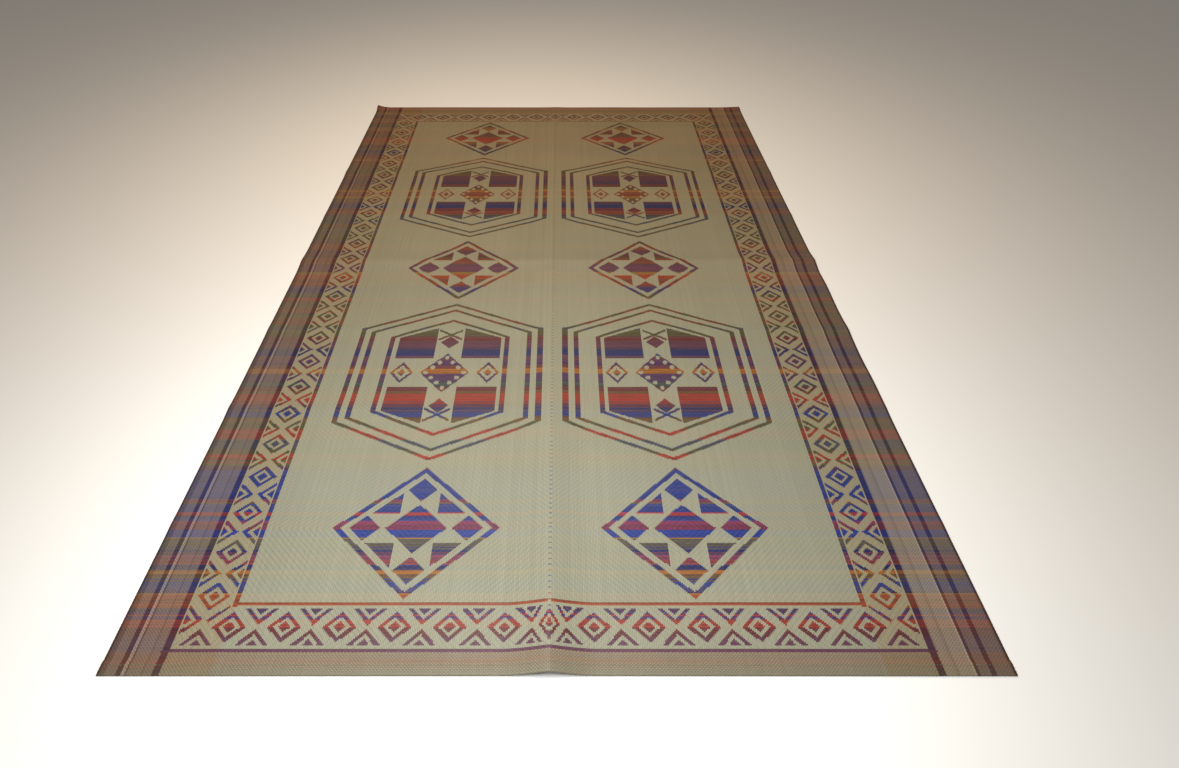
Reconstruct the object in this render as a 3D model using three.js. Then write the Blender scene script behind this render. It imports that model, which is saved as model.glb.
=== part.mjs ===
// A woven plastic floor mat lying on a floor: one thin sheet with its folding creases, its lifted
// corners and the thicker hems at its two ends.
// X runs across the mat and Y along it. The mat lies on Z = 0. Sizes are in millimetres.
import * as THREE from 'three';

const WIDTH = 1830;
const LENGTH = 2740;
const SHEET = 1.8; // one layer of woven straw
const HEM = 2 * SHEET; // turned under and stitched down
const HEM_WIDTH = 25;
const HEM_STEP = 6; // how far the cloth slopes down from hem to sheet

// The fold along the mat stands up as a low tent. It is highest at the near end, where y is least.
const RIDGE_X = -16;
const RIDGE_HALF = 95;
const CREST_ROUND = 0.06; // rounding of a crest, as a share of its half width
const RIDGE_HEIGHTS = [
  { y: -1370, height: 25 },
  { y: -1030, height: 19 },
  { y: -515, height: 11 },
  { y: 0, height: 8 },
  { y: 515, height: 6 },
  { y: 1030, height: 5 },
  { y: 1370, height: 1.5 },
];
const DRAWN_IN = 3.3; // the ridge takes up cloth, so each side comes in by this much at the near end

// The folds across the mat, an eighth of its length apart: the middle one stands highest.
const CROSS_FOLDS = [
  { y: -1030, half: 45, left: 1.5, right: 1 },
  { y: -665, half: 55, left: 3, right: 2 },
  { y: -335, half: 50, left: 2, right: 3 },
  { y: 33, half: 75, left: 6, right: 9 },
  { y: 345, half: 45, left: 1.5, right: 2 },
  { y: 690, half: 55, left: 3, right: 2 },
];

// The right border doesn't lie quite flat on the near side of the middle fold.
const WAVE_HEIGHT = 3;
const WAVE_LENGTH = 230;
const WAVE_FROM = -690;
const WAVE_TO = -45;
const WAVE_REACH = 130; // how far in from the edge it fades out

// Two corners at the far end curl up, the left one only at its tip.
const CURLS = [
  { x: -WIDTH / 2, y: LENGTH / 2, reach: 70, height: 12 },
  { x: WIDTH / 2, y: LENGTH / 2, reach: 150, height: 4 },
];

// The grid's lines stand close together at a bend, at these shares of its half width, and
// wide apart where the sheet lies flat.
const BEND_SHARES = [-1, -0.5, -0.2, 0, 0.2, 0.5, 1];
const FLAT_STEP_X = 150;
const FLAT_STEP_Y = 125;
const EDGE_STEPS = [50, 100]; // further lines in from each edge, for the curls and the wave

// A fold's height above the floor, from 1 on its crest to 0 at its foot.
function tent(distance, half) {
  const t = Math.hypot(distance / half, CREST_ROUND);
  return t < 1 ? (1 - t) ** 1.5 : 0;
}

function ridgeHeight(y) {
  const next = Math.max(1, RIDGE_HEIGHTS.findIndex((station) => station.y >= y));
  const [a, b] = [RIDGE_HEIGHTS[next - 1], RIDGE_HEIGHTS[next]];
  return THREE.MathUtils.lerp(a.height, b.height, THREE.MathUtils.smoothstep(y, a.y, b.y));
}

function crossFolds(x, y) {
  const across = x / WIDTH + 0.5;
  const heights = CROSS_FOLDS.map(
    (fold) => THREE.MathUtils.lerp(fold.left, fold.right, across) * tent(y - fold.y, fold.half),
  );
  return Math.max(...heights);
}

function borderWave(x, y) {
  if (y < WAVE_FROM || y > WAVE_TO) return 0;
  const fade = Math.max(0, 1 - (WIDTH / 2 - x) / WAVE_REACH);
  return WAVE_HEIGHT * fade * Math.sin((Math.PI * (y - WAVE_FROM)) / WAVE_LENGTH) ** 2;
}

function cornerCurls(x, y) {
  const lifts = CURLS.map(({ x: cx, y: cy, reach, height }) => {
    const away = (Math.abs(x - cx) + Math.abs(y - cy)) / reach;
    return height * Math.max(0, 1 - away) ** 2;
  });
  return Math.max(...lifts);
}

// Height of the underside above the floor.
function lift(x, y) {
  const ridge = ridgeHeight(y) * tent(x - RIDGE_X, RIDGE_HALF);
  return Math.hypot(ridge, crossFolds(x, y)) + borderWave(x, y) + cornerCurls(x, y);
}

// The sides run straight, a little closer together towards the near end.
function drawnIn(x, y) {
  const nearness = 0.5 - y / LENGTH;
  return x * (1 - (DRAWN_IN * nearness) / (WIDTH / 2));
}

// Lines from -size / 2 to size / 2: even ones over the flat stretches, and more at each bend.
function gridLines(size, step, bends, extra) {
  const lines = [...extra, -size / 2, size / 2];
  for (const { at, half } of bends) lines.push(...BEND_SHARES.map((share) => at + share * half));
  for (const inset of EDGE_STEPS) lines.push(inset - size / 2, size / 2 - inset);
  lines.sort((a, b) => a - b);
  const filled = [lines[0]];
  for (const line of lines.slice(1)) {
    const start = filled.at(-1);
    const pieces = Math.ceil((line - start) / step);
    for (let i = 1; i <= pieces; i++) filled.push(start + ((line - start) * i) / pieces);
  }
  return filled;
}

function matGeometry() {
  const hemLine = LENGTH / 2 - HEM_WIDTH;
  const hemLines = [-1, 1].flatMap((end) => [end * hemLine, end * (hemLine - HEM_STEP)]);
  const folds = CROSS_FOLDS.map((fold) => ({ at: fold.y, half: fold.half }));
  const xs = gridLines(WIDTH, FLAT_STEP_X, [{ at: RIDGE_X, half: RIDGE_HALF }], []);
  const ys = gridLines(LENGTH, FLAT_STEP_Y, folds, hemLines);

  const positions = [];
  for (const upper of [true, false]) {
    for (const y of ys) {
      const thickness = Math.abs(y) >= hemLine ? HEM : SHEET;
      for (const x of xs) positions.push(drawnIn(x, y), y, lift(x, y) + (upper ? thickness : 0));
    }
  }

  const columns = xs.length;
  const under = columns * ys.length; // the underside's vertices follow the upper ones
  const faces = [];
  const quad = (a, b, c, d) => faces.push(a, b, c, a, c, d);
  for (let row = 0; row < ys.length - 1; row++) {
    for (let column = 0; column < columns - 1; column++) {
      const a = row * columns + column;
      const d = a + columns;
      quad(a, a + 1, d + 1, d);
      quad(under + a, under + d, under + d + 1, under + a + 1);
    }
  }

  const lastRow = (ys.length - 1) * columns;
  const rim = [
    ...xs.slice(1).map((_, i) => i),
    ...ys.slice(1).map((_, i) => (i + 1) * columns - 1),
    ...xs.slice(1).map((_, i) => lastRow + columns - 1 - i),
    ...ys.slice(1).map((_, i) => lastRow - i * columns),
  ];
  rim.forEach((a, i) => {
    const b = rim[(i + 1) % rim.length];
    quad(under + a, under + b, b, a);
  });

  const geometry = new THREE.BufferGeometry();
  geometry.setAttribute('position', new THREE.Float32BufferAttribute(positions, 3));
  geometry.setIndex(faces);
  geometry.computeVertexNormals();
  return geometry;
}

const wovenPlastic = new THREE.MeshStandardMaterial({ color: 0x8d8266, roughness: 0.45, metalness: 0 });

const mat = new THREE.Mesh(matGeometry(), wovenPlastic);
mat.name = 'mat';

const group = new THREE.Group();
group.add(mat);

export default group;
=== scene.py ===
# %% [markdown]
# # A woven plastic floor mat
# The mat is one large sheet of plastic straw, woven in a traditional pattern of diamonds and
# six-sided medallions. It was folded for storage, so its fold lines still stand up a little. The
# sheet is modelled as real thin geometry, because its folds, its thickness and its turned ends show
# in every view. The straws are drawn with material nodes, because their four hundred thousand
# crossings would be far too many faces.

# %% Load the fixed frame
import math

import bmesh
import bpy
from mathutils import Matrix, Vector, noise


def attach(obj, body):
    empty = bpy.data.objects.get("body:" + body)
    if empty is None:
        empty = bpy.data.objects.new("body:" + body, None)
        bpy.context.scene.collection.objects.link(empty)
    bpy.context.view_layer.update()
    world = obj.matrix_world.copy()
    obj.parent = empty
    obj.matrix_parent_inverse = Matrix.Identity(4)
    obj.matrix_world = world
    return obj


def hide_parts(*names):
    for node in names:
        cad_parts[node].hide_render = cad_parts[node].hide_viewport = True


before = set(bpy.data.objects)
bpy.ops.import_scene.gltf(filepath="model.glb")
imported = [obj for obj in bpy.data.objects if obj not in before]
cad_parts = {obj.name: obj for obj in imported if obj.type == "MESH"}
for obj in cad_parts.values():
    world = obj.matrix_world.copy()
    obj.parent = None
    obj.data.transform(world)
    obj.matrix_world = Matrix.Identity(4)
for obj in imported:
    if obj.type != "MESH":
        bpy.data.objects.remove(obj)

scene = bpy.context.scene
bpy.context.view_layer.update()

# %% [markdown]
# ## Camera
# The mat was photographed from chest height, just beyond its near end, with a short lens. The focal
# length is kept in pixels of the photograph, because that is how it was worked out from the mat's
# straight sides, and the lens in millimetres follows from it.

# %% Camera
IMAGE_WIDTH = 1179
FOCAL_PIXELS = 625.0
SENSOR = 36.0
EYE = (0.006, -1.816, 1.305)
LOOKS_DOWN = math.radians(44.94)
SHIFT_X, SHIFT_Y = 0.0252, -0.0127  # the photograph was cropped, so its middle isn't the lens's

camera = bpy.data.objects.new("camera", bpy.data.cameras.new("camera"))
scene.collection.objects.link(camera)
camera.data.sensor_width = SENSOR
camera.data.lens = SENSOR * FOCAL_PIXELS / IMAGE_WIDTH
camera.data.shift_x = SHIFT_X
camera.data.shift_y = SHIFT_Y
camera.location = EYE
camera.rotation_euler = (math.pi / 2 - LOOKS_DOWN, 0, 0)
scene.camera = camera
print("lens", round(camera.data.lens, 2), "mm")

# %% [markdown]
# ## Floor and light
# A plain pale floor and large soft lights suit a flat object. One light hangs over the near end and
# is nearly white. The other hangs higher over the far half and is warmer, so the mat grows darker
# and browner with distance.

# %% Floor
FLOOR_SIZE = 30.0
FLOOR_COLOUR = (0.88, 0.88, 0.87, 1)
FLOOR_ROUGHNESS = 0.7

floor_bm = bmesh.new()
bmesh.ops.create_grid(floor_bm, x_segments=1, y_segments=1, size=FLOOR_SIZE / 2)
floor_mesh = bpy.data.meshes.new("floor")
floor_bm.to_mesh(floor_mesh)
floor_bm.free()
floor = bpy.data.objects.new("floor", floor_mesh)
scene.collection.objects.link(floor)
floor_paint = bpy.data.materials.new("floor_paint")
floor_paint.use_nodes = True
floor_shader = floor_paint.node_tree.nodes["Principled BSDF"]
floor_shader.inputs["Base Color"].default_value = FLOOR_COLOUR
floor_shader.inputs["Roughness"].default_value = FLOOR_ROUGHNESS
floor.data.materials.append(floor_paint)
print("floor:", FLOOR_SIZE, "m wide")

# %% Lights
NEARLY_WHITE = (0.98, 1.0, 0.99)
WARM = (1.0, 0.76, 0.52)
ROOM_COLOUR = (1.0, 0.92, 0.82, 1)
ROOM_STRENGTH = 0.22


def soft_light(name, place, aim, size, watts, colour):
    """A square area light at place that faces aim."""
    lamp = bpy.data.lights.new(name, "AREA")
    lamp.shape = "SQUARE"
    lamp.size = size
    lamp.energy = watts
    lamp.color = colour
    light = bpy.data.objects.new(name, lamp)
    light.location = place
    light.rotation_euler = (Vector(aim) - Vector(place)).to_track_quat("-Z", "Y").to_euler()
    scene.collection.objects.link(light)
    return light


soft_light("near_light", (-0.2, -1.3, 1.45), (-0.1, -1.0, 0), 1.0, 34, NEARLY_WHITE)
soft_light("far_light", (-0.25, 0.65, 2.2), (-0.1, 0.65, 0), 1.4, 34, WARM)

world = bpy.data.worlds.new("room")
world.use_nodes = True
room_light = world.node_tree.nodes["Background"]
room_light.inputs["Color"].default_value = ROOM_COLOUR
room_light.inputs["Strength"].default_value = ROOM_STRENGTH
scene.world = world
scene.view_settings.view_transform = "Standard"

# %% [markdown]
# ## The shape in which the mat lies
# Plastic straw keeps a memory of its folds. The fold along the middle stands up as a low tent, and
# the folds across the mat, an eighth of its length apart, show as soft ridges. These are the same
# sizes as the solid's, so both have one shape. The surface between them is never quite flat, so a
# little smooth noise is added.

# %% Sizes of the sheet
WIDTH = 1.83
LENGTH = 2.74
LAYER = 0.0018  # one layer of straw, with the air in it
HEM_WIDTH = 0.025
HEM_STEP = 0.006  # the slope from the hem down to the sheet

RIDGE_X = -0.016
RIDGE_HALF = 0.095
CREST_ROUND = 0.06  # rounding of a crest, as a share of its half width
RIDGE_HEIGHTS = (  # y, height
    (-1.37, 0.025),
    (-1.03, 0.019),
    (-0.515, 0.011),
    (0.0, 0.008),
    (0.515, 0.006),
    (1.03, 0.005),
    (1.37, 0.0015),
)
DRAWN_IN = 0.0033  # how far each side comes in at the near end, where the ridge takes up cloth

CROSS_FOLDS = (  # y, half width, height at the left edge, height at the right edge
    (-1.03, 0.045, 0.0015, 0.001),
    (-0.665, 0.055, 0.003, 0.002),
    (-0.335, 0.05, 0.002, 0.003),
    (0.033, 0.075, 0.006, 0.009),
    (0.345, 0.045, 0.0015, 0.002),
    (0.69, 0.055, 0.003, 0.002),
)

WAVE_HEIGHT = 0.003  # the right border's waves
WAVE_LENGTH = 0.23
WAVE_FROM = -0.69
WAVE_TO = -0.045
WAVE_REACH = 0.13  # how far in from the edge they fade out

CURLS = (  # x, y, reach, height
    (-WIDTH / 2, LENGTH / 2, 0.07, 0.012),
    (WIDTH / 2, LENGTH / 2, 0.15, 0.004),
)

UNEVEN_HEIGHT = 0.0012
UNEVEN_SCALE = 3.2
UNEVEN_RAISE = 0.5  # the noise goes as far below 0 as above it, and what stays below is cut off

# %% Height of the sheet above the floor
def smooth_step(value, start, end):
    """0 up to start, 1 from end on, and a smooth rise between them."""
    share = min(1, max(0, (value - start) / (end - start)))
    return share * share * (3 - 2 * share)


def tent(distance, half):
    """A fold's height, from nearly 1 on its crest to 0 at its foot."""
    share = math.hypot(distance / half, CREST_ROUND)
    return (1 - share) ** 1.5 if share < 1 else 0


def ridge_height(y):
    height = RIDGE_HEIGHTS[0][1]
    for (y0, _), (y1, h1) in zip(RIDGE_HEIGHTS, RIDGE_HEIGHTS[1:]):
        height += (h1 - height) * smooth_step(y, y0, y1)
    return height


def cross_folds(x, y):
    across = x / WIDTH + 0.5
    return max((left + (right - left) * across) * tent(y - at, half)
               for at, half, left, right in CROSS_FOLDS)


def border_wave(x, y):
    if not WAVE_FROM < y < WAVE_TO:
        return 0
    fade = max(0, 1 - (WIDTH / 2 - x) / WAVE_REACH)
    return WAVE_HEIGHT * fade * math.sin(math.pi * (y - WAVE_FROM) / WAVE_LENGTH) ** 2


def corner_curls(x, y):
    return max(height * max(0, 1 - (abs(x - at_x) + abs(y - at_y)) / reach) ** 2
               for at_x, at_y, reach, height in CURLS)


def lift(x, y):
    """Height of the underside above the floor."""
    ridge = ridge_height(y) * tent(x - RIDGE_X, RIDGE_HALF)
    folds = math.hypot(ridge, cross_folds(x, y))
    uneven = UNEVEN_HEIGHT * (noise.noise(Vector((x, y, 0)) * UNEVEN_SCALE) + UNEVEN_RAISE)
    return folds + border_wave(x, y) + corner_curls(x, y) + max(0, uneven)


print("ridge at the near end:", round(1000 * lift(RIDGE_X, -LENGTH / 2), 1), "mm")

# %% [markdown]
# ## The sheet
# A grid is made by its operator and its lines are then moved, so that they stand close together
# where the sheet bends. The grid is longer than the mat, because each end is turned under once: past
# the end, the sheet goes round a half circle and comes back below itself. A UV map keeps each
# point's place on the flat cloth, so the weave follows every fold, and a Solidify modifier gives the
# thickness.

# %% Where a point of the flat cloth goes
HEM_LINE = LENGTH / 2 - HEM_WIDTH  # where the sheet has risen onto the hem's lower layer
HEM_FOOT = HEM_LINE - HEM_STEP
BEND_START = LENGTH / 2 - LAYER  # where the top layer starts to turn under
BEND_LENGTH = math.pi * LAYER
FLAT_LENGTH = 2 * (BEND_START + BEND_LENGTH + HEM_WIDTH - LAYER)


def along_end(distance):
    """Turns a distance from the middle, along the flat cloth, into a place and a height."""
    if distance <= BEND_START:
        return distance, LAYER * (1 + smooth_step(distance, HEM_FOOT, HEM_LINE))
    turned = (distance - BEND_START) / LAYER
    if turned <= math.pi:
        return BEND_START + LAYER * math.sin(turned), LAYER * (1 + math.cos(turned))
    return BEND_START - (turned - math.pi) * LAYER, 0.0


def lay(x, along):
    """The place in the room of a point of the flat cloth."""
    y, height = along_end(abs(along))
    y = math.copysign(y, along)
    nearness = 0.5 - y / LENGTH
    drawn = x * (1 - DRAWN_IN * nearness / (WIDTH / 2))
    return Vector((drawn, y, lift(x, y) + height))


print("flat length:", round(FLAT_LENGTH, 3), "m")

# %% Grid lines, close together at the bends
FLAT_STEP = 0.0165
RIDGE_STEP = 0.006
FOLD_STEP = 0.007
SLOPE_SHARES = (0.25, 0.5, 0.75, 1)  # lines on the hem's slope
TURN_SEGMENTS = 8


def lines_between(start, end, bends, step, fine_step):
    """Evenly spaced lines from start to end, with finer ones inside the bends."""
    places = [start]
    while places[-1] < end:
        here = places[-1]
        inside = any(abs(here + step / 2 - at) < half + step / 2 for at, half in bends)
        places.append(min(end, here + (fine_step if inside else step)))
    return places


x_lines = lines_between(-WIDTH / 2, WIDTH / 2, [(RIDGE_X, RIDGE_HALF)], FLAT_STEP, RIDGE_STEP)
fold_bends = [(at, half) for at, half, _, _ in CROSS_FOLDS]
middle_lines = lines_between(-HEM_FOOT, HEM_FOOT, fold_bends, FLAT_STEP, FOLD_STEP)
hem_lines = [HEM_FOOT + HEM_STEP * share for share in SLOPE_SHARES]
hem_lines += [LENGTH / 2 - HEM_WIDTH / 2, BEND_START]
hem_lines += [BEND_START + BEND_LENGTH * (i + 1) / TURN_SEGMENTS for i in range(TURN_SEGMENTS)]
hem_lines += [FLAT_LENGTH / 2 - HEM_WIDTH / 2, FLAT_LENGTH / 2]
along_lines = [-line for line in reversed(hem_lines)] + middle_lines + hem_lines
print(len(x_lines), "by", len(along_lines), "lines")

# %% Sheet mesh
SHEET_THICKNESS = 0.0015  # a little less than a layer, so that the hem's two layers don't merge

sheet_bm = bmesh.new()
bmesh.ops.create_grid(sheet_bm, x_segments=len(x_lines) - 1, y_segments=len(along_lines) - 1, size=0.5)
flat_map = sheet_bm.loops.layers.uv.new("OFBake")
flat_place = {}
for vert in sheet_bm.verts:
    x = x_lines[round((vert.co.x + 0.5) * (len(x_lines) - 1))]
    along = along_lines[round((vert.co.y + 0.5) * (len(along_lines) - 1))]
    flat_place[vert] = (x / WIDTH + 0.5, along / FLAT_LENGTH + 0.5)
    vert.co = lay(x, along)
for face in sheet_bm.faces:
    face.smooth = True
    for loop in face.loops:
        loop[flat_map].uv = flat_place[loop.vert]

sheet_mesh = bpy.data.meshes.new("woven_mat")
sheet_bm.to_mesh(sheet_mesh)
sheet_bm.free()
woven_mat = bpy.data.objects.new("woven_mat", sheet_mesh)
scene.collection.objects.link(woven_mat)
thickness = woven_mat.modifiers.new("straw thickness", "SOLIDIFY")
thickness.thickness = SHEET_THICKNESS
thickness.offset = -1
print("sheet faces:", len(sheet_mesh.polygons))

# %% [markdown]
# ## Formulas as nodes
# The pattern is a set of distances: how far a point lies from a motif's middle, and which side of a
# line it is on. Each is a short sum, and a sum is easier to read in one line of Python than in
# twenty nodes placed by hand. So a small class stands for a number inside the material: adding,
# multiplying or comparing two of them makes the Math node that does it.

# %% Numbers in the material
straw = bpy.data.materials.new("woven_plastic")
straw.use_nodes = True
tree = straw.node_tree
nodes = tree.nodes


def connect(value, socket):
    """Links a wire to the socket, or sets the socket to a plain number or colour."""
    if isinstance(value, Wire):
        tree.links.new(value.socket, socket)
    else:
        socket.default_value = value


def math_node(operation, *values):
    node = nodes.new("ShaderNodeMath")
    node.operation = operation
    for value, socket in zip(values, node.inputs):
        connect(value, socket)
    return Wire(node.outputs[0])


class Wire:
    """An output socket that can be used in sums."""

    def __init__(self, socket):
        self.socket = socket

    def __add__(self, other):
        return math_node("ADD", self, other)

    def __sub__(self, other):
        return math_node("SUBTRACT", self, other)

    def __rsub__(self, other):
        return math_node("SUBTRACT", other, self)

    def __mul__(self, other):
        return math_node("MULTIPLY", self, other)

    def __truediv__(self, other):
        return math_node("DIVIDE", self, other)

    def __lt__(self, other):
        return math_node("LESS_THAN", self, other)

    def __gt__(self, other):
        return math_node("GREATER_THAN", self, other)

    def __abs__(self):
        return math_node("ABSOLUTE", self)


def between(value, low, high):
    """1 where low <= value <= high, and 0 elsewhere."""
    return math_node("COMPARE", value, (low + high) / 2, (high - low) / 2)


def either(first, *others):
    """1 where any of the parts is 1."""
    for other in others:
        first = math_node("MAXIMUM", first, other)
    return first


def both(first, *others):
    """1 where all of the parts are 1."""
    for other in others:
        first = first * other
    return first


def folded(value, half):
    """Distance from value to the nearest multiple of twice half."""
    return math_node("PINGPONG", value, half)


def mixed(share, first, second):
    """Colours or numbers: first where share is 0, second where it is 1."""
    node = nodes.new("ShaderNodeMix")
    node.data_type = "RGBA"
    connect(share, node.inputs["Factor"])
    for value, name in ((first, "A"), (second, "B")):
        socket = next(s for s in node.inputs if s.name == name and s.type == "RGBA")
        connect(value, socket)
    return Wire(next(s for s in node.outputs if s.type == "RGBA"))


# %% [markdown]
# ## The grid of straws
# Warp straws run along the mat and weft straws across it. Each point is looked up at the middle of
# the crossing it lies in, so a slanted line of the pattern comes out in small steps of one straw, as
# a loom makes it.

# %% Which straws cross at a point
WARP_PITCH = 0.00362
WEFT_PITCH = 0.00337
MIRROR_X = -0.016  # the pattern's mirror line
PATTERN_Y = -0.010  # and the middle of its length, a little nearer than the mat's

flat_uv = nodes.new("ShaderNodeUVMap")
flat_uv.uv_map = "OFBake"
split_uv = nodes.new("ShaderNodeSeparateXYZ")
tree.links.new(flat_uv.outputs["UV"], split_uv.inputs[0])
place_x = (Wire(split_uv.outputs["X"]) - 0.5) * WIDTH
place_y = (Wire(split_uv.outputs["Y"]) - 0.5) * FLAT_LENGTH

warp_count = (place_x - MIRROR_X) / WARP_PITCH
weft_count = (place_y - PATTERN_Y) / WEFT_PITCH
warp_number = math_node("FLOOR", warp_count)
weft_number = math_node("FLOOR", weft_count)
across = abs((warp_number + 0.5) * WARP_PITCH)  # distance from the mirror line
along = (weft_number + 0.5) * WEFT_PITCH
end_distance = abs(along)
print(round(WIDTH / WARP_PITCH), "warp straws,", round(FLAT_LENGTH / WEFT_PITCH), "weft straws")

# %% [markdown]
# ## The pattern
# Two columns of motifs stand either side of the mirror line, and their rows are evenly spaced:
# eight-pointed stars in a diamond frame at the middle and near the ends, and medallions between
# them. Folding the distances to the nearest column and row draws all ten with one set of formulas.

# %% Places of the motifs
COLUMN = 0.317
ROW = 0.515

from_column = abs(across - COLUMN)
from_star_row = folded(along, ROW)
from_medallion_row = ROW - from_star_row

# %% Star in a diamond
STAR_HALF_WIDTH = 0.197
STAR_HALF_HEIGHT = 0.173
# All that follows is in shares of these two.
FRAME_INNER = 0.91
LOZENGE_REACH = 0.37
POINT_AT, POINT_REACH = 0.615, 0.19
TRIANGLE_FROM, TRIANGLE_REACH = 0.225, 0.8

star_x = from_column / STAR_HALF_WIDTH
star_y = from_star_row / STAR_HALF_HEIGHT
star_reach = star_x + star_y  # 1 on the diamond's outer edge
frame_line = between(star_reach, FRAME_INNER, 1.0)
lozenge = star_reach < LOZENGE_REACH
point_diamonds = either(
    abs(star_x - POINT_AT) + star_y < POINT_REACH,
    abs(star_y - POINT_AT) + star_x < POINT_REACH,
)
triangles = both(star_x > TRIANGLE_FROM, star_y > TRIANGLE_FROM, star_reach < TRIANGLE_REACH)
in_field = end_distance < 2 * ROW + STAR_HALF_HEIGHT
stars = both(either(frame_line, lozenge, point_diamonds, triangles), in_field)

# %% Medallion frames
SLANT = 0.445  # how steeply a medallion's top and bottom fall away from its middle
SLANT_COSINE = 1 / math.hypot(1, SLANT)
SLANTED_LINE = 0.0095
POST = 0.0145  # an upright line is thicker
INNER_POST = 0.018  # and the one beside the mirror line thickest
MEDALLIONS = ((0.284, 0.319), (0.252, 0.2895), (0.1845, 0.238))  # half width, half height
INNER_POST_EDGE = 0.289

slanted = from_column * SLANT + from_medallion_row


def medallion_line(half_width, half_height):
    """One six-sided line, thinner on its slants than on its posts."""
    from_slant = (half_height - slanted) * (SLANT_COSINE / SLANTED_LINE)
    from_side = (half_width - from_column) / POST
    return between(math_node("MINIMUM", from_slant, from_side), 0, 1)


outer_half, outer_height = MEDALLIONS[0]
inner_post = both(
    between(from_column, INNER_POST_EDGE - INNER_POST, INNER_POST_EDGE),
    across < COLUMN,
    from_medallion_row < outer_height - SLANT * outer_half,
)
medallion_frames = either(*(medallion_line(*size) for size in MEDALLIONS), inner_post)

# %% Blocks and middle diamond of a medallion
BLOCK_SIDES = (0.042, 0.156)
BLOCK_FOOT = 0.059
BLOCK_TOP, BLOCK_SLANT = 0.2105, 0.375  # its slanted edge: height on the column's line, and fall

blocks = both(
    between(from_column, *BLOCK_SIDES),
    from_medallion_row > BLOCK_FOOT,
    from_medallion_row + from_column * BLOCK_SLANT < BLOCK_TOP,
)

MIDDLE_HALF_WIDTH, MIDDLE_HALF_HEIGHT = 0.073, 0.08
DOT_LINE_X, DOT_LINE_Y = 0.0565, 0.0625  # the light dots sit on this diamond, at its thirds
DOT_SIZE = 0.03  # square of a dot's radius, in shares of that diamond
dot_x = from_column / DOT_LINE_X
dot_y = from_medallion_row / DOT_LINE_Y
dot_along = folded(dot_x - dot_y + 1, 1 / 3)
dot_off = dot_x + dot_y - 1
dots = dot_along * dot_along + dot_off * dot_off < DOT_SIZE
middle_reach = from_column / MIDDLE_HALF_WIDTH + from_medallion_row / MIDDLE_HALF_HEIGHT
middle_diamond = (middle_reach < 1) - dots

# %% Small figures of a medallion
RING_AT = 0.127
RING_HALF_WIDTH, RING_HALF_HEIGHT = 0.034, 0.043
RING_INNER, RING_CORE = 0.72, 0.36  # shares of the ring's outer size
TIP_ROW, TIP_REACH = 0.131, 0.028
CROSS_ROW, CROSS_REACH = 0.164, 0.036
CROSS_SLANT = 0.56
CROSS_HALF_LINE = 0.0045

ring_reach = abs(from_column - RING_AT) / RING_HALF_WIDTH + from_medallion_row / RING_HALF_HEIGHT
side_diamonds = either(between(ring_reach, RING_INNER, 1), ring_reach < RING_CORE)
tip_diamonds = abs(from_medallion_row - TIP_ROW) + from_column < TIP_REACH
off_leg = abs(from_medallion_row - CROSS_ROW) - from_column * CROSS_SLANT
cross_legs = both(between(off_leg, -CROSS_HALF_LINE, CROSS_HALF_LINE), from_column < CROSS_REACH)
medallions = both(
    either(medallion_frames, blocks, middle_diamond, side_diamonds, tip_diamonds, cross_legs),
    end_distance < 2 * ROW,
)
print("nodes in the motifs:", len(nodes))

# %% [markdown]
# ## The border
# A chain of linked diamonds runs round the field between two dark lines, and its links meet at the
# corners. Seen from a link's middle, the chain is rings inside rings, and a ring's distance is the
# sum of the distances across and along.

# %% Border lines
FIELD_EDGE = 0.674
CHAIN_EDGE = 0.7825
FIELD_END = 1.214
CHAIN_END = 1.312
CHAIN_MIDDLE = (FIELD_EDGE + CHAIN_EDGE) / 2
CHAIN_END_MIDDLE = (FIELD_END + CHAIN_END) / 2
FIELD_LINE = 0.0115
END_LINE = 0.0068
BORDER_LINE = 0.017
MIRROR_GAP = 0.005  # the end lines stop short of the mirror line

field_line = both(
    between(across, FIELD_EDGE - FIELD_LINE / 2, FIELD_EDGE + FIELD_LINE / 2),
    end_distance < FIELD_END + FIELD_LINE / 2,
)
field_end_line = both(
    between(end_distance, FIELD_END - END_LINE / 2, FIELD_END + END_LINE / 2),
    between(across, MIRROR_GAP, FIELD_EDGE),
)
border_line = both(
    between(across, CHAIN_EDGE - BORDER_LINE / 2, CHAIN_EDGE + BORDER_LINE / 2),
    end_distance < CHAIN_END,
)
border_end_line = both(
    between(end_distance, CHAIN_END - END_LINE / 2, CHAIN_END + END_LINE / 2),
    across < CHAIN_EDGE + BORDER_LINE / 2,
)
lines = either(field_line, field_end_line, border_line, border_end_line)

# %% Chain of linked diamonds
SIDE_LINK = 0.104  # length of a link along the sides: about 24 reach from corner to corner
MIDDLE_LINK_HALF = 0.036  # the link on the mirror line is squeezed
END_LINKS = 6
LINE_GAP = 0.004  # pale gap between a half diamond and its line
# Cores and rings in shares of the chain's width. The squash makes them shorter along the chain.
WHOLE_CORE, WHOLE_RING, WHOLE_SQUASH = 0.12, (0.215, 0.33), 1.05
HALF_CORE, HALF_RING, HALF_SQUASH = 0.24, (0.345, 0.46), 1.15

end_link = (CHAIN_MIDDLE - MIDDLE_LINK_HALF) / END_LINKS
side_width = CHAIN_EDGE - FIELD_EDGE
end_width = CHAIN_END - FIELD_END


def links(across_share, along_share, off_lines):
    """Whole diamonds on the chain's middle, and half ones that stand on its lines between them."""
    whole = across_share + along_share * WHOLE_SQUASH
    half = (0.5 - across_share) + (0.5 - along_share) * HALF_SQUASH
    halves = either(half < HALF_CORE, between(half, *HALF_RING))
    return either(whole < WHOLE_CORE, between(whole, *WHOLE_RING), both(halves, off_lines))


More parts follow.
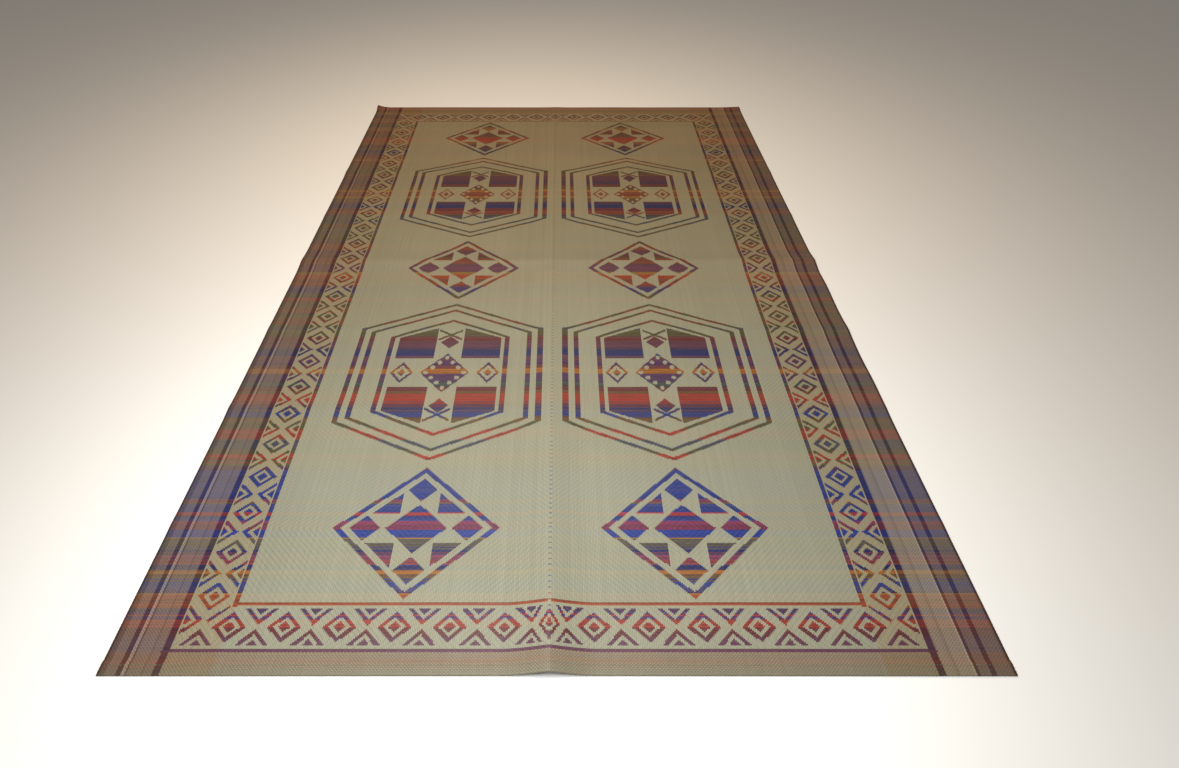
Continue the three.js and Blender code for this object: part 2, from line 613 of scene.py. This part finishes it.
def clear_of_lines(distance, inner, outer):
    """1 on the chain's own strip, between its two lines and their gaps."""
    return between(distance, inner + FIELD_LINE / 2 + LINE_GAP, outer - BORDER_LINE / 2 - LINE_GAP)


side_links = links(
    abs(across - CHAIN_MIDDLE) / side_width,
    0.5 - folded(along, SIDE_LINK / 2) / SIDE_LINK,
    clear_of_lines(across, FIELD_EDGE, CHAIN_EDGE),
)
outer_links = 0.5 - folded(across - MIDDLE_LINK_HALF, end_link / 2) / end_link
squeezed_link = across / (2 * MIDDLE_LINK_HALF)
end_links = links(
    abs(end_distance - CHAIN_END_MIDDLE) / end_width,
    outer_links + (squeezed_link - outer_links) * (across < MIDDLE_LINK_HALF),
    clear_of_lines(end_distance, FIELD_END, CHAIN_END),
)
on_end = (end_distance - CHAIN_END_MIDDLE) / end_width > (across - CHAIN_MIDDLE) / side_width
in_border = both(
    across < CHAIN_EDGE,
    end_distance < CHAIN_END,
    either(across > FIELD_EDGE, end_distance > FIELD_END),
)
chain = both(side_links + (end_links - side_links) * on_end, in_border)

in_side_band = across > CHAIN_EDGE + BORDER_LINE / 2
in_end_band = end_distance > CHAIN_END
in_band = either(in_side_band, in_end_band)
coloured = either(stars, medallions, lines, chain)
print("nodes in the pattern:", len(nodes))

# %% [markdown]
# ## The colours of the weft
# A weft straw has one colour for its whole length, so the pattern changes colour in stripes across
# the mat. The stripes are listed row by row. Each row's list says where a stripe starts, in
# millimetres from the row's middle towards the near end.

# %% Dyes
DYES = {  # screen colours, 0 to 255
    "royal": (30, 66, 178),
    "navy": (44, 50, 134),
    "violet": (80, 56, 132),
    "purple": (100, 50, 122),
    "plum": (124, 62, 98),
    "magenta": (160, 50, 108),
    "maroon": (136, 52, 66),
    "crimson": (192, 52, 72),
    "red": (200, 66, 52),
    "flame": (206, 88, 40),
    "brick": (166, 76, 48),
    "orange": (218, 132, 44),
    "ochre": (188, 136, 60),
    "brown": (134, 96, 64),
    "olive": (112, 104, 66),
    "teal": (84, 100, 100),
    "slate": (84, 90, 112),
    "grey": (112, 104, 96),
}


def linear(screen):
    """A screen colour as the linear numbers that a shader takes."""
    shares = [c / 255 for c in screen]
    return [c / 12.92 if c <= 0.04045 else ((c + 0.055) / 1.055) ** 2.4 for c in shares] + [1]


# %% Stripes
WEFT_STRIPES = {  # row's middle: (start in mm towards the near end, dye)
    2 * ROW: (
        (-400, "red"), (-318, "brick"), (-296, "ochre"), (-262, "brown"), (-235, "brick"),
        (-212, "ochre"), (-180, "brick"), (-162, "olive"), (-120, "ochre"), (-75, "brick"),
        (-45, "brown"), (-15, "flame"), (40, "ochre"), (68, "plum"), (98, "brown"), (118, "navy"),
        (150, "plum"), (180, "brick"), (205, "ochre"), (225, "brick"),
    ),
    ROW: (
        (-260, "brown"), (-215, "olive"), (-178, "brown"), (-150, "plum"), (-112, "purple"),
        (-80, "maroon"), (-61, "brown"), (-40, "ochre"), (-28, "orange"), (-8, "brick"),
        (20, "ochre"), (34, "brown"), (60, "purple"), (78, "navy"), (108, "maroon"), (132, "brick"),
        (160, "slate"), (182, "teal"), (203, "slate"), (224, "brown"), (245, "olive"),
    ),
    0: (
        (-260, "grey"), (-215, "olive"), (-178, "plum"), (-160, "olive"), (-148, "brick"),
        (-112, "plum"), (-84, "maroon"), (-68, "olive"), (-56, "brick"), (-23, "plum"), (20, "ochre"),
        (33, "flame"), (58, "brick"), (88, "flame"), (98, "violet"), (139, "olive"), (165, "red"),
        (184, "olive"), (205, "brown"), (222, "brick"), (240, "olive"),
    ),
    -ROW: (
        (-260, "brown"), (-240, "brick"), (-216, "olive"), (-198, "slate"), (-186, "olive"),
        (-160, "maroon"), (-132, "plum"), (-102, "navy"), (-66, "plum"), (-52, "purple"),
        (-36, "maroon"), (-18, "orange"), (0, "brown"), (6, "purple"), (30, "slate"), (44, "teal"),
        (57, "maroon"), (72, "brown"), (84, "red"), (124, "plum"), (143, "navy"), (155, "royal"),
        (170, "brown"), (186, "olive"), (208, "red"), (244, "slate"),
    ),
    -2 * ROW: (
        (-260, "slate"), (-237, "olive"), (-217, "red"), (-196, "olive"), (-180, "purple"),
        (-160, "royal"), (-82, "magenta"), (-70, "olive"), (-66, "royal"), (-44, "crimson"),
        (-34, "royal"), (-18, "magenta"), (4, "royal"), (23, "ochre"), (29, "grey"), (56, "navy"),
        (62, "magenta"), (80, "red"), (93, "navy"), (106, "orange"), (114, "brown"), (125, "royal"),
        (150, "violet"), (158, "flame"), (168, "orange"), (177, "flame"), (192, "purple"),
        (214, "red"), (236, "maroon"), (252, "plum"), (290, "brick"), (312, "brown"),
    ),
}
RAMP_HALF = 400  # millimetres either side of a row's middle that its ramp covers
BUNDLE = 3  # so many straws next to each other share one greying
MOST_GREY = 0.3  # the share of grey in the most faded bundle
STRAY = 0.010  # how far the odd straw strays from its own stripe; most stray hardly at all


def striped(stripes, place, start, length):
    """Colours that change in steps along place, from a list of starts in mm and screen colours."""
    ramp = nodes.new("ShaderNodeValToRGB")
    ramp.color_ramp.interpolation = "CONSTANT"
    stops = ramp.color_ramp.elements
    while len(stops) < len(stripes):
        stops.new(1.0)
    for stop, (at, screen) in zip(stops, stripes):
        stop.position = (at - start) / length
        stop.color = linear(screen)
    connect(place * (1000 / length) - start / length, ramp.inputs["Fac"])
    return Wire(ramp.outputs["Color"])


def random_number(number, seed):
    """A random number from 0 to 1 for each straw."""
    node = nodes.new("ShaderNodeTexWhiteNoise")
    node.noise_dimensions = "1D"
    connect(number + seed, node.inputs["W"])
    return Wire(node.outputs["Value"])


# %% Colour of each weft straw
chance = random_number(weft_number, 0.11) * 2 - 1
dyed_at = along + chance * chance * chance * STRAY


def row_colour(row):
    stripes = [(start, DYES[dye]) for start, dye in WEFT_STRIPES[row]]
    return striped(stripes, row - dyed_at, -RAMP_HALF, 2 * RAMP_HALF)


far_row, *nearer_rows = WEFT_STRIPES
weft_colour = row_colour(far_row)
for row in nearer_rows:
    weft_colour = mixed(dyed_at < row + ROW / 2, weft_colour, row_colour(row))
bundle = math_node("FLOOR", weft_number / BUNDLE)
weft_colour = mixed(random_number(bundle, 0.53) * MOST_GREY, weft_colour, linear(DYES["grey"]))
print("weft stripes:", sum(len(stripes) for stripes in WEFT_STRIPES.values()))

# %% [markdown]
# ## The colours of the warp
# The warp is pale straw all over the field and the border. In the two side bands it is dull brown
# and grey, with a few dark and pale straws that run the mat's whole length. The two bands differ a
# little, so each has its own list.

# %% Warp
FIELD_WARP = (144, 145, 125)
BORDER_WARP = (144, 137, 111)
LEFT_WARP = (  # start in mm from the mirror line outwards, screen colour
    (770, (42, 32, 44)),
    (790, (128, 116, 100)),
    (808, (110, 100, 86)),
    (812, (130, 118, 102)),
    (838, (88, 76, 70)),
    (843, (160, 148, 132)),
    (852, (58, 48, 48)),
    (860, (126, 114, 98)),
    (884, (106, 96, 84)),
    (888, (122, 110, 94)),
)
RIGHT_WARP = (
    (770, (42, 32, 44)),
    (790, (146, 136, 116)),
    (812, (136, 126, 106)),
    (818, (150, 140, 120)),
    (846, (170, 158, 138)),
    (852, (64, 52, 50)),
    (859, (120, 108, 98)),
    (880, (52, 42, 48)),
    (889, (124, 112, 98)),
)
SIDE_START, SIDE_RAMP = 770, 200  # where a ramp starts and how many millimetres it covers
SELVAGE = 0.005
SELVAGE_WARP = (86, 76, 64)

left_warp, right_warp = (
    striped(stripes, across, SIDE_START, SIDE_RAMP) for stripes in (LEFT_WARP, RIGHT_WARP)
)
side_warp = mixed(place_x > 0, left_warp, right_warp)
side_warp = mixed(abs(place_x) > WIDTH / 2 - SELVAGE, side_warp, linear(SELVAGE_WARP))
on_side = across > CHAIN_EDGE - BORDER_LINE / 2
pale_warp = mixed(across > FIELD_EDGE, linear(FIELD_WARP), linear(BORDER_WARP))
warp_colour = mixed(on_side, pale_warp, side_warp)
print("side band lines:", len(LEFT_WARP), "on the left,", len(RIGHT_WARP), "on the right")

# %% [markdown]
# ## Over and under
# The mat is a four-straw twill. On the pale ground a warp straw goes over three wefts and under one,
# and in the coloured figures it is the other way round. The twill turns round at every column and
# row of motifs, so its fine slanting lines run parallel to the diamonds. The side bands are plain
# weave, one over and one under. Worn ground shows its lines less in some places than in others.

# %% Twill
TWILL = 4  # straws in one repeat of the twill
GROUND_MARGIN, FIGURE_MARGIN = 0.15, 0.32  # how far a single point of straw is squeezed

twill_step = math_node("FLOOR", from_column / WARP_PITCH) + math_node(
    "FLOOR", folded(along, ROW / 2) / WEFT_PITCH
)
phase = math_node("MODULO", twill_step, TWILL)  # 0, 1, 2 or 3
across_straw = math_node("FRACT", warp_count)
along_straw = math_node("FRACT", weft_count)


def squeezed(margin):
    """A single point of straw, which its neighbours squeeze by a share of the crossing."""
    return both(between(across_straw, margin, 1 - margin), between(along_straw, margin, 1 - margin))


def by_zone(ground, figure, band):
    """One of three numbers: for the pale ground, the coloured figures or the striped bands."""
    number = ground + (figure - ground) * coloured
    return number + (band - number) * in_band * (1 - coloured)


ground_up = 1 - both(phase < 0.5, squeezed(GROUND_MARGIN))
figure_up = both(phase > 2.5, squeezed(FIGURE_MARGIN))
band_up = math_node("FRACT", (warp_number + weft_number) * 0.5) > 0.25  # every other crossing
warp_up = by_zone(ground_up, figure_up, band_up)

# %% How much of the warp's colour shows
def streaks(scale_x, scale_y, detail):
    """Smooth noise on the flat cloth, stretched by different scales across and along."""
    combine = nodes.new("ShaderNodeCombineXYZ")
    connect(place_x * scale_x, combine.inputs["X"])
    connect(place_y * scale_y, combine.inputs["Y"])
    node = nodes.new("ShaderNodeTexNoise")
    node.inputs["Scale"].default_value = 1.0
    node.inputs["Detail"].default_value = detail
    tree.links.new(combine.outputs[0], node.inputs["Vector"])
    return Wire(node.outputs["Fac"])


GROUND_WARP = 0.93
GROUND_DIP, DIP_CHANGE = 0.02, 0.44  # what a weft point takes off: the least, and how much it varies
MIRROR_DIP = 0.4  # what a point on the mirror line takes off besides
FIGURE_WARP, FIGURE_RISE = 0.02, 0.4
LINE_RISE = 0.4  # the border's side line is dark warp, so more of it shows
BAND_WARP, BAND_RISE = 0.38, 0.28
PALE_STRIP_EDGE, PALE_STRIP_RISE = 0.852, 0.12  # the right band's inner half shows less weft

dots_on_mirror = both(phase < 0.5, across < WARP_PITCH)
ground_dip = streaks(5.0, 5.0, 2.0) * DIP_CHANGE + GROUND_DIP
ground_share = GROUND_WARP - (1 - ground_up) * ground_dip - dots_on_mirror * MIRROR_DIP
dark_line = both(border_line, 1 - in_end_band)
figure_share = figure_up * FIGURE_RISE + FIGURE_WARP + dark_line * LINE_RISE
pale_strip = between(place_x - MIRROR_X, CHAIN_EDGE + BORDER_LINE / 2, PALE_STRIP_EDGE)
band_share = band_up * BAND_RISE + BAND_WARP + pale_strip * PALE_STRIP_RISE
warp_share = by_zone(ground_share, figure_share, band_share)

# %% Straw profile
FLATNESS = 4.0  # a higher power gives a flatter middle and steeper edges
SAG = 0.3  # how far a straw dips towards its next crossing


def arched(share):
    """0 at a straw's edges and 1 over its flat middle."""
    return 1 - math_node("POWER", abs(share * 2 - 1), FLATNESS)


warp_arch = arched(across_straw)
weft_arch = arched(along_straw)
warp_height = warp_arch * (weft_arch * SAG + (1 - SAG))
weft_height = weft_arch * (warp_arch * SAG + (1 - SAG))
straw_height = weft_height + (warp_height - weft_height) * warp_up

# %% [markdown]
# ## Finish
# No two straws take the dye alike, so each gets its own shade from a random number, and longer
# streaks and worn patches come from stretched noise. Towards the far end the woven colour is
# multiplied by a light brown, painted warm shade for the light that falls off along the mat.
# Polypropylene straw has a soft shine. The gaps between the straws are darkened with painted shade,
# and the same height that darkens them feeds the bump.

# %% Helpers for shades
def brightened(colour, factor):
    node = nodes.new("ShaderNodeVectorMath")
    node.operation = "SCALE"
    connect(colour, node.inputs[0])
    connect(factor, node.inputs["Scale"])
    return Wire(node.outputs[0])


def multiplied(first, second):
    node = nodes.new("ShaderNodeVectorMath")
    node.operation = "MULTIPLY"
    connect(first, node.inputs[0])
    connect(second, node.inputs[1])
    return Wire(node.outputs[0])


def smooth_share(value, start, end):
    """0 up to start, 1 from end on, and a smooth rise between them."""
    node = nodes.new("ShaderNodeMapRange")
    node.interpolation_type = "SMOOTHSTEP"
    connect(value, node.inputs["Value"])
    connect(start, node.inputs["From Min"])
    connect(end, node.inputs["From Max"])
    return Wire(node.outputs["Result"])


# %% Shade of each straw
WEFT_SHADE, WEFT_CHANGE, WEFT_STREAKS = 0.13, 0.2, 0.36  # least, by the straw, and along it
WARP_SHADE, WARP_CHANGE, WARP_STREAKS = 0.91, 0.08, 0.1
# How much painted shade darkens a straw's edges and the gaps between straws.
GAP_PAINTED_SHADE = 0.4
WEAR = 0.24

weft_shade = random_number(weft_number, 0.37) * WEFT_CHANGE
weft_shade = weft_shade + streaks(24.0, 260.0, 1.0) * WEFT_STREAKS + WEFT_SHADE
warp_shade = random_number(warp_number, 0.71) * WARP_CHANGE
warp_shade = warp_shade + streaks(160.0, 4.0, 2.0) * WARP_STREAKS + WARP_SHADE
shaded_weft = brightened(weft_colour, weft_shade)
shaded_warp = brightened(warp_colour, warp_shade)
woven_colour = mixed(warp_share, shaded_weft, shaded_warp)
# Painted shade: a straw's colour darkens with its height, towards its edges and into the gaps between
# straws.
painted_gap_shade = straw_height * GAP_PAINTED_SHADE + (1 - GAP_PAINTED_SHADE)
worn_patches = streaks(2.2, 2.2, 4.0) * WEAR + (1 - WEAR / 2)

# %% Painted far-end shade
PAINTED_FALLOFF_FROM, PAINTED_FALLOFF_TO = -0.9, 1.4
FAR_PAINTED_SHADE_TINT = (1.0, 0.78, 0.56, 1)
UNCHANGED = (1, 1, 1, 1)

# Painted shade: the colour grows darker and browner towards the far end, standing in for the light
# that falls off along the mat.
far_painted_shade = smooth_share(place_y, PAINTED_FALLOFF_FROM, PAINTED_FALLOFF_TO)
far_shaded_colour = multiplied(woven_colour, mixed(far_painted_shade, UNCHANGED, FAR_PAINTED_SHADE_TINT))
surface_colour = brightened(far_shaded_colour, painted_gap_shade * worn_patches)

# %% Shader
ROUGHNESS, ROUGHNESS_CHANGE = 0.36, 0.16
SHINE = 0.32
BUMP_DEPTH, BUMP_STRENGTH = 0.0006, 0.6

shader = nodes["Principled BSDF"]
connect(surface_colour, shader.inputs["Base Color"])
connect(streaks(6.0, 6.0, 3.0) * ROUGHNESS_CHANGE + ROUGHNESS, shader.inputs["Roughness"])
shader.inputs["Specular IOR Level"].default_value = SHINE
bump = nodes.new("ShaderNodeBump")
bump.inputs["Distance"].default_value = BUMP_DEPTH
bump.inputs["Strength"].default_value = BUMP_STRENGTH
connect(straw_height, bump.inputs["Height"])
tree.links.new(bump.outputs["Normal"], shader.inputs["Normal"])
woven_mat.data.materials.append(straw)
print("nodes in the weave:", len(nodes))

# %% [markdown]
# ## Hem stitches and edge loops
# Each turned end is sewn down with a thread that shows above and below, and along the sides each
# pair of weft straws turns back round the outermost warp straw. Both are rows of short rounded beads
# that follow the sheet, so one helper makes them: one small sphere is stretched from point to point,
# and each copy is added to the same mesh. Two thousand separate objects would only slow the scene
# down.

# %% Rows of beads
BEAD_SIDES, BEAD_RINGS = 6, 4  # few, because there are two thousand beads

bead_bm = bmesh.new()
bmesh.ops.create_uvsphere(bead_bm, u_segments=BEAD_SIDES, v_segments=BEAD_RINGS, radius=1.0)
for face in bead_bm.faces:
    face.smooth = True
bead_mesh = bpy.data.meshes.new("bead")
bead_bm.to_mesh(bead_mesh)
bead_bm.free()


def add_bead(row_bm, start, end, width, height):
    """A rounded stitch that reaches from start to end."""
    reach = end - start
    turn = reach.to_track_quat("X", "Z").to_matrix().to_4x4()
    size = Matrix.Diagonal((reach.length / 2, width / 2, height / 2, 1))
    place = Matrix.Translation((start + end) / 2) @ turn @ size
    bead_mesh.transform(place)
    row_bm.from_mesh(bead_mesh)
    bead_mesh.transform(place.inverted())


def finished_piece(name, bm, material):
    """Makes an object of a bmesh, at the origin, and frees the bmesh."""
    mesh = bpy.data.meshes.new(name)
    bm.to_mesh(mesh)
    bm.free()
    mesh.materials.append(material)
    piece = bpy.data.objects.new(name, mesh)
    scene.collection.objects.link(piece)
    print(name, "faces:", len(mesh.polygons))
    return piece


# %% Material of a row
MOTTLE_DARK, MOTTLE_LIGHT = 0.35, 0.65  # where in the noise the two colours are full


def straw_material(name, dark, light, roughness, scale):
    """Plain straw or thread whose colour changes a little from bead to bead."""
    material = bpy.data.materials.new(name)
    material.use_nodes = True
    links = material.node_tree.links
    made = material.node_tree.nodes
    place = made.new("ShaderNodeTexCoord")
    mottle = made.new("ShaderNodeTexNoise")
    mottle.inputs["Scale"].default_value = scale
    mottle.inputs["Detail"].default_value = 3.0
    colours = made.new("ShaderNodeValToRGB")
    colours.color_ramp.elements[0].position = MOTTLE_DARK
    colours.color_ramp.elements[0].color = linear(dark)
    colours.color_ramp.elements[1].position = MOTTLE_LIGHT
    colours.color_ramp.elements[1].color = linear(light)
    links.new(place.outputs["Object"], mottle.inputs["Vector"])
    links.new(mottle.outputs["Fac"], colours.inputs["Fac"])
    surface = made["Principled BSDF"]
    links.new(colours.outputs["Color"], surface.inputs["Base Color"])
    surface.inputs["Roughness"].default_value = roughness
    return material


# %% Hem stitches
STITCH_PITCH = 0.0065
STITCH_LENGTH = 0.0048
THREAD = 0.001
THREAD_HEIGHT = THREAD * 0.6  # pulled tight, so it is flatter than it is wide
TOP_RISE = THREAD * 0.4  # so the top rows don't sink into the straws
STITCH_INSET = 0.02  # from the end of the mat
SIDE_MARGIN = 0.02  # left free at the two sides together

stitch_bm = bmesh.new()
top_row = LENGTH / 2 - STITCH_INSET
under_row = BEND_START + BEND_LENGTH + STITCH_INSET - LAYER
stitch_count = int((WIDTH - SIDE_MARGIN) / STITCH_PITCH)
for row, rise in ((-under_row, 0), (-top_row, TOP_RISE), (top_row, TOP_RISE), (under_row, 0)):
    for i in range(stitch_count):
        x = (i - (stitch_count - 1) / 2) * STITCH_PITCH
        left, right = (lay(x + side * STITCH_LENGTH / 2, row) for side in (-1, 1))
        above = Vector((0, 0, rise))
        add_bead(stitch_bm, left + above, right + above, THREAD, THREAD_HEIGHT)
thread = straw_material("hem_thread", (112, 102, 84), (150, 138, 114), 0.6, 300.0)
hem_stitches = finished_piece("hem_stitches", stitch_bm, thread)

# %% Edge loops
LOOP_PITCH = 2 * WEFT_PITCH
LOOP_LENGTH = 0.0056
LOOP_WIDTH = 0.0018
LOOP_HEIGHT = SHEET_THICKNESS * 1.15  # a little fatter than the sheet that it closes
END_MARGIN = 0.01  # left free at the two ends together

loop_bm = bmesh.new()
loop_count = int((LENGTH - END_MARGIN) / LOOP_PITCH)
sunk = Vector((0, 0, -SHEET_THICKNESS / 2))
for side in (-1, 1):
    for i in range(loop_count):
        at = (i - (loop_count - 1) / 2) * LOOP_PITCH
        start, end = (lay(side * WIDTH / 2, at + step * LOOP_LENGTH / 2) for step in (-1, 1))
        add_bead(loop_bm, start + sunk, end + sunk, LOOP_WIDTH, LOOP_HEIGHT)
edge_straw = straw_material("edge_straw", (84, 72, 64), (126, 104, 84), 0.45, 40.0)
edge_loops = finished_piece("edge_loops", loop_bm, edge_straw)

# %% [markdown]
# ## Attaching to the solid's place
# The sheet stands for the plain solid, which is hidden, and moves with it.

for piece in (woven_mat, hem_stitches, edge_loops):
    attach(piece, "root")
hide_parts("mat")
